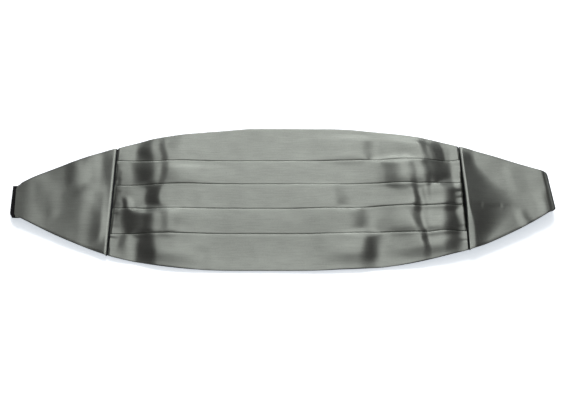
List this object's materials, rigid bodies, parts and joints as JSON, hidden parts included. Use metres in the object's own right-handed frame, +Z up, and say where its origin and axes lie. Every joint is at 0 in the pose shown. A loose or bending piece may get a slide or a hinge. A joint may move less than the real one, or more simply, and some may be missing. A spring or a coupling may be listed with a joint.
{
  "type": "cummerbund",
  "caption": "Pleated silver-grey satin cummerbund fastened into a loop and lying flat, with plain tapered wings, a dark backing and a black elastic waist strap with slider, hook and eye.",
  "frame": {"origin": "middle of the underside, on the surface that the garment lies on", "axes": "+X along the garment towards the rolled-under end, +Y towards the top hem, +Z up out of the pleated front"},
  "size_m": [0.4702, 0.135, 0.0132],
  "materials": {
    "satin": "silver-grey satin, glossy along the weave",
    "lining": "charcoal lining twill, soft sheen",
    "elastic": "black ribbed elastic, matt",
    "nickel": "nickel plate, softly polished"
  },
  "bodies": {
    "root": {"pleat_1": "satin", "pleat_2": "satin", "pleat_3": "satin", "pleat_4": "satin", "pleat_5": "satin", "wing_left": "satin", "wing_right": "satin", "back": "lining", "strap": "elastic", "slider": "nickel", "hook": "nickel", "eye": "nickel"}
  },
  "joints": []
}
